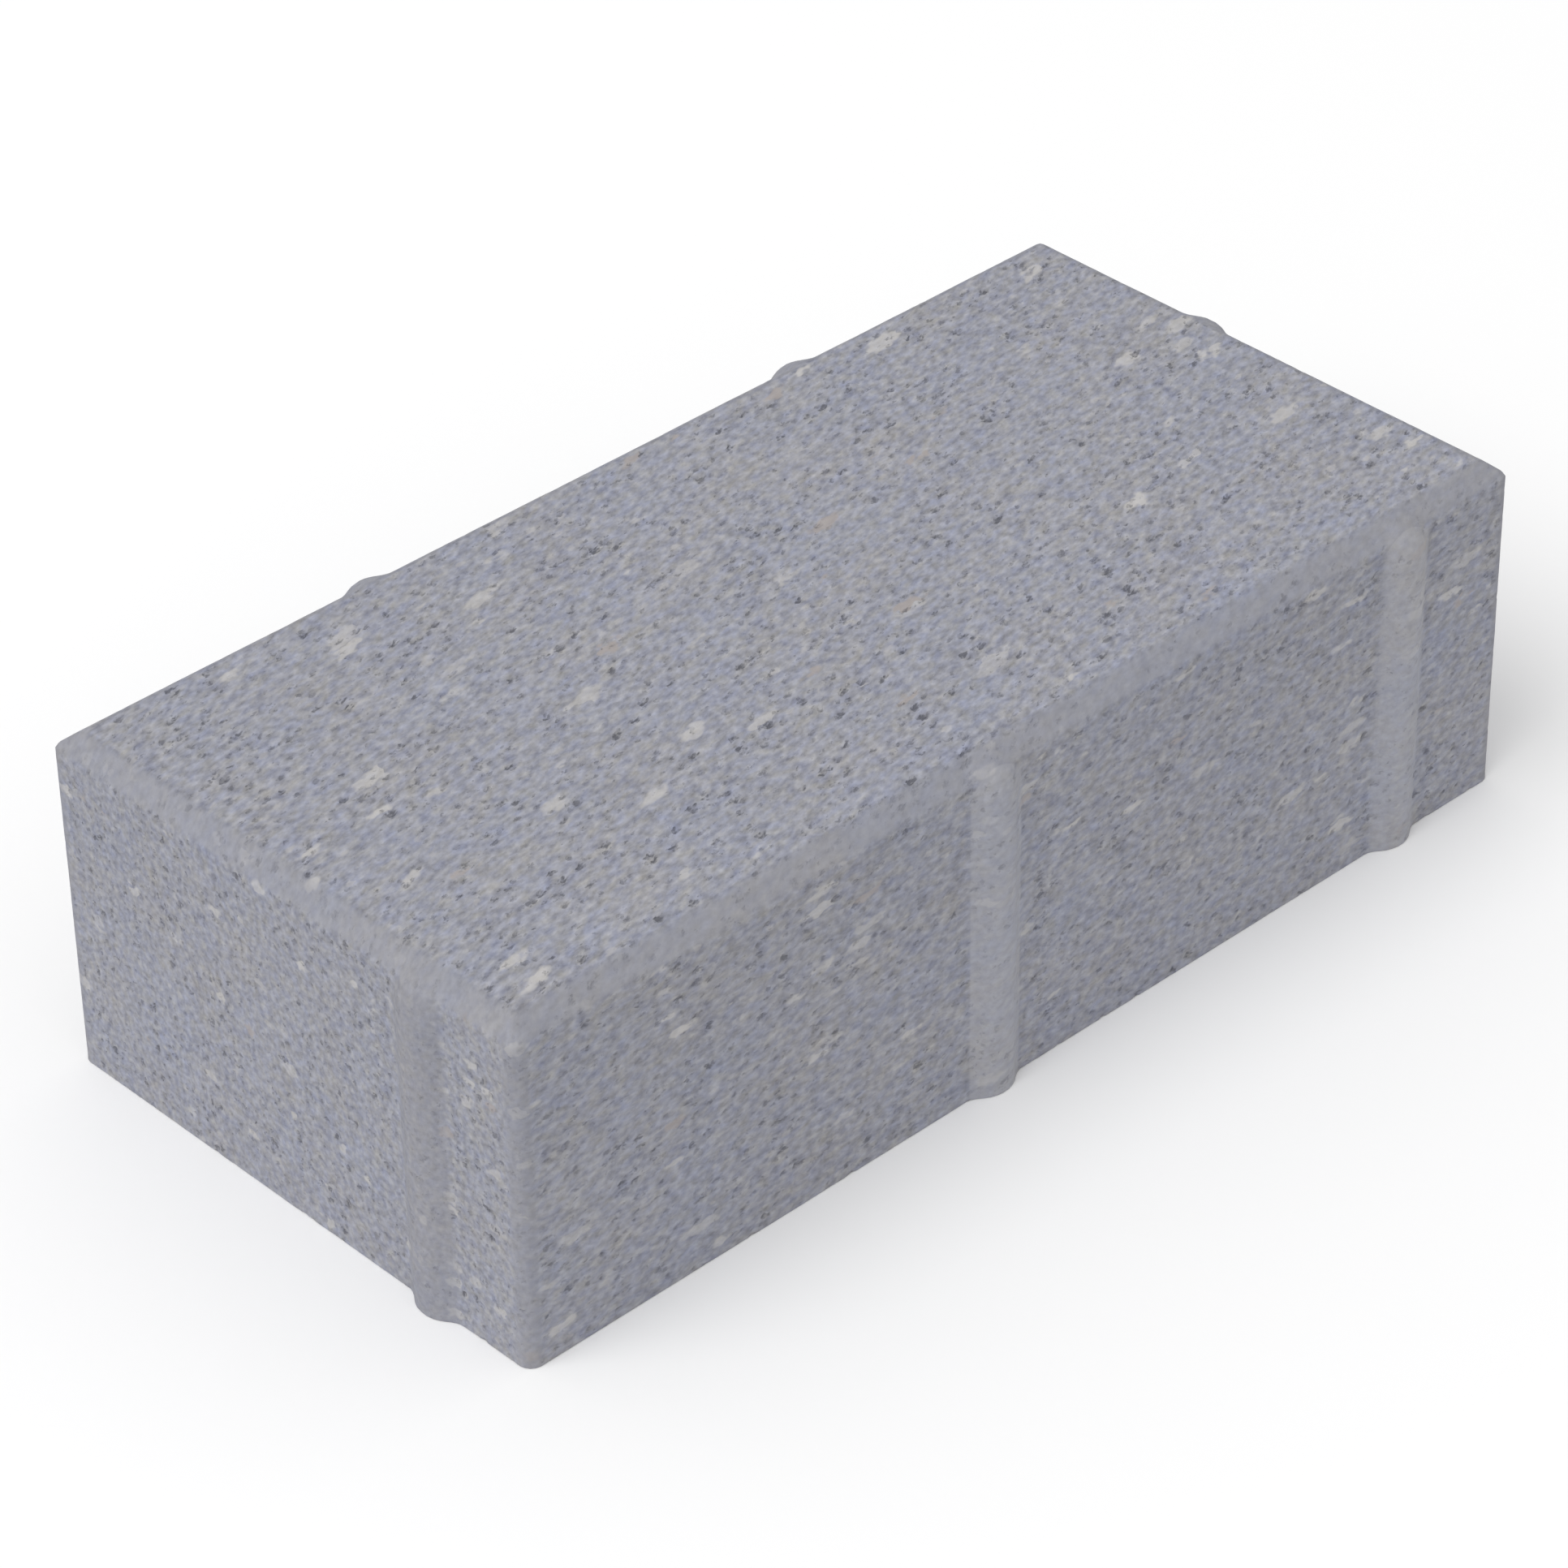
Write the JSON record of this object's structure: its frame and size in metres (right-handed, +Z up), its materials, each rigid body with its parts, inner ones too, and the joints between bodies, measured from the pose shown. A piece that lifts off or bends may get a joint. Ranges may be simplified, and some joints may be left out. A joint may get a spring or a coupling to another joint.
{
  "type": "concrete paving stone",
  "caption": "Rectangular pressed concrete paving stone with a bevelled wearing face, rounded upright corners and upright spacer nibs with domed tops on its sides.",
  "frame": {"origin": "centre of the bedding face, on the surface that the stone lies on", "axes": "+X along the stone, +Y across it, +Z up out of the wearing face"},
  "size_m": [0.2022, 0.1022, 0.0575],
  "materials": {
    "concrete": "pressed grey concrete, open sandy face with pits and a few pale pebbles"
  },
  "bodies": {
    "root": {"paving_stone": "concrete"}
  },
  "joints": []
}
